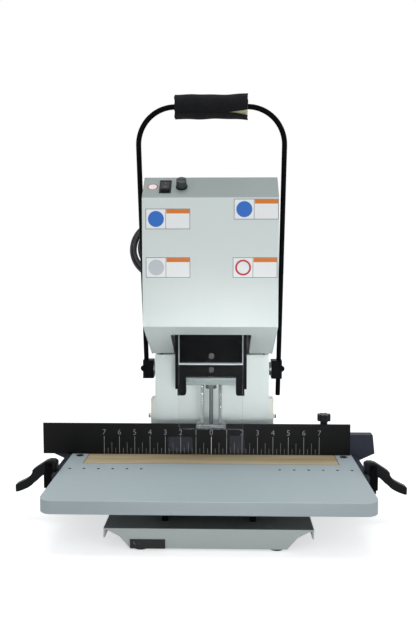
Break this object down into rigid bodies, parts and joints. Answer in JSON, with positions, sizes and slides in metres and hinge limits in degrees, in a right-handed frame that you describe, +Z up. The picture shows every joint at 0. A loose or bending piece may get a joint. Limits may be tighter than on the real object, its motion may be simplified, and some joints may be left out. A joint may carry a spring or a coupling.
{
  "type": "benchtop paper drill",
  "caption": "Benchtop paper drill with a hoop handle, rack-driven drilling head, sprung foot, laminated table and sliding back gauge.",
  "frame": {"origin": "centre of the bounding box without the lead, on the surface that the rubber feet stand on; X = 0 is the drill's axis", "axes": "+Z up, front (operator) towards -Y, +X to the operator's right"},
  "size_m": [0.6, 0.4746, 0.6623],
  "materials": {
    "white_paint": "semi-gloss powder coat",
    "dark_deck": "satin",
    "black_paint": "satin",
    "laminate": "matt laminate",
    "wood": "sanded",
    "rubber": "matt",
    "steel": "brushed",
    "chrome": "polished",
    "aluminium": "machined",
    "bronze": "machined",
    "clear_plastic": "clear acrylic",
    "black_plastic": "moulded",
    "sticker": "blank paper label",
    "foam": "open foam",
    "grip_fabric": "neoprene fabric",
    "cord": "PVC"
  },
  "bodies": {
    "frame": {"base_tray": "white_paint", "rubber_feet": "rubber", "table_board": "laminate", "cutting_strip": "wood", "table_rails": "black_paint", "chassis_plates": "steel", "guide_frame": "steel", "column_shell": "white_paint", "throat_panel": "white_paint", "head_cover": "white_paint", "rear_cover": "white_paint", "side_brackets": "white_paint", "cover_screws": "steel", "control_bodies": "black_plastic", "blank_stickers": "sticker", "shaft_bushes": "bronze", "strain_relief": "rubber", "cord_lead": "cord", "cord_coil": "cord", "cord_tail": "cord", "power_plug": "rubber", "cord_hook": "black_paint"},
    "gauge": {"fence_plate": "black_paint", "gauge_carrier": "black_paint", "gauge_arms": "black_paint", "clamp_blocks": "black_paint"},
    "lever_left": {"clamp_lever_left": "black_plastic"},
    "lever_right": {"clamp_lever_right": "black_plastic"},
    "side_stop": {"stop_slide_block": "black_paint"},
    "stop_screw": {"stop_knob": "black_plastic"},
    "handle": {"handle_hoop": "black_paint", "hub_blocks": "black_paint", "cross_shaft": "steel", "pinion": "steel", "grip_foam": "foam", "grip_sleeve": "grip_fabric"},
    "carriage": {"front_plate": "black_paint", "front_window": "clear_plastic", "bracket_frame": "black_paint", "bracket_screws": "steel", "carriage_cheeks": "black_paint", "spindle_plate": "aluminium", "quill_tube": "aluminium", "spindle_bearings": "chrome", "carriage_deck": "aluminium", "guide_bushes": "bronze", "motor_body": "dark_deck", "drive_rack": "steel", "drive_belt": "rubber", "return_spring": "steel"},
    "spindle": {"spindle_shaft": "steel", "drill_chuck": "steel", "drill_bit": "chrome"},
    "motor_rotor": {"motor_shaft": "steel"},
    "foot": {"foot_block": "clear_plastic", "foot_rods": "chrome", "foot_springs": "steel", "guard_screen": "clear_plastic"},
    "rocker": {"switch_rocker": "black_plastic"},
    "fuse": {"fuse_cap": "black_plastic"}
  },
  "joints": [
    {"name": "handle_pull", "type": "hinge", "parent": "frame", "child": "handle", "pos_m": [0, 0.1136, 0.209], "axis": [1, 0, 0], "range_deg": [0, 80.85]},
    {"name": "carriage_slide", "type": "slide", "parent": "frame", "child": "carriage", "axis": [0, 0, -1], "range_m": [0, 0.0508], "stiffness_N_per_m": 400, "springref_m": -0.25, "deforming": ["return_spring"]},
    {"name": "foot_rise", "type": "slide", "parent": "carriage", "child": "foot", "axis": [0, 0, 1], "range_m": [0, 0.045], "stiffness_N_per_m": 120, "springref_m": -0.03, "deforming": ["foot_springs"]},
    {"name": "spindle_spin", "type": "hinge", "parent": "carriage", "child": "spindle", "pos_m": [0, 0.0026, 0.3], "axis": [0, 0, -1], "continuous": true},
    {"name": "motor_spin", "type": "hinge", "parent": "carriage", "child": "motor_rotor", "pos_m": [0, 0.1036, 0.43], "axis": [0, 0, -1], "continuous": true},
    {"name": "gauge_slide", "type": "slide", "parent": "frame", "child": "gauge", "axis": [0, 1, 0], "range_m": [0, 0.028]},
    {"name": "clamp_left", "type": "hinge", "parent": "gauge", "child": "lever_left", "pos_m": [-0.247, -0.0714, 0.088], "axis": [0, 1, 0], "range_deg": [0, 100]},
    {"name": "clamp_right", "type": "hinge", "parent": "gauge", "child": "lever_right", "pos_m": [0.247, -0.0714, 0.088], "axis": [0, 1, 0], "range_deg": [-100, 0]},
    {"name": "stop_slide", "type": "slide", "parent": "gauge", "child": "side_stop", "axis": [1, 0, 0], "range_m": [-0.06, 0.06]},
    {"name": "stop_screw_turn", "type": "hinge", "parent": "side_stop", "child": "stop_screw", "pos_m": [0.187, 0.0336, 0.13], "axis": [0, 0, 1], "range_deg": [-180, 180]},
    {"name": "switch_rock", "type": "hinge", "parent": "frame", "child": "rocker", "pos_m": [-0.069, -0.0414, 0.5135], "axis": [1, 0, 0], "range_deg": [0, 20]},
    {"name": "fuse_cap_turn", "type": "hinge", "parent": "frame", "child": "fuse", "pos_m": [-0.0442, -0.0414, 0.5135], "axis": [0, -0.6364, 0.7714], "range_deg": [0, 90]}
  ],
  "couplings": [
    {"joint": "carriage_slide", "follows": "handle_pull", "m_per_rad": 0.036},
    {"joint": "motor_spin", "follows": "spindle_spin", "ratio": 1.4286}
  ]
}
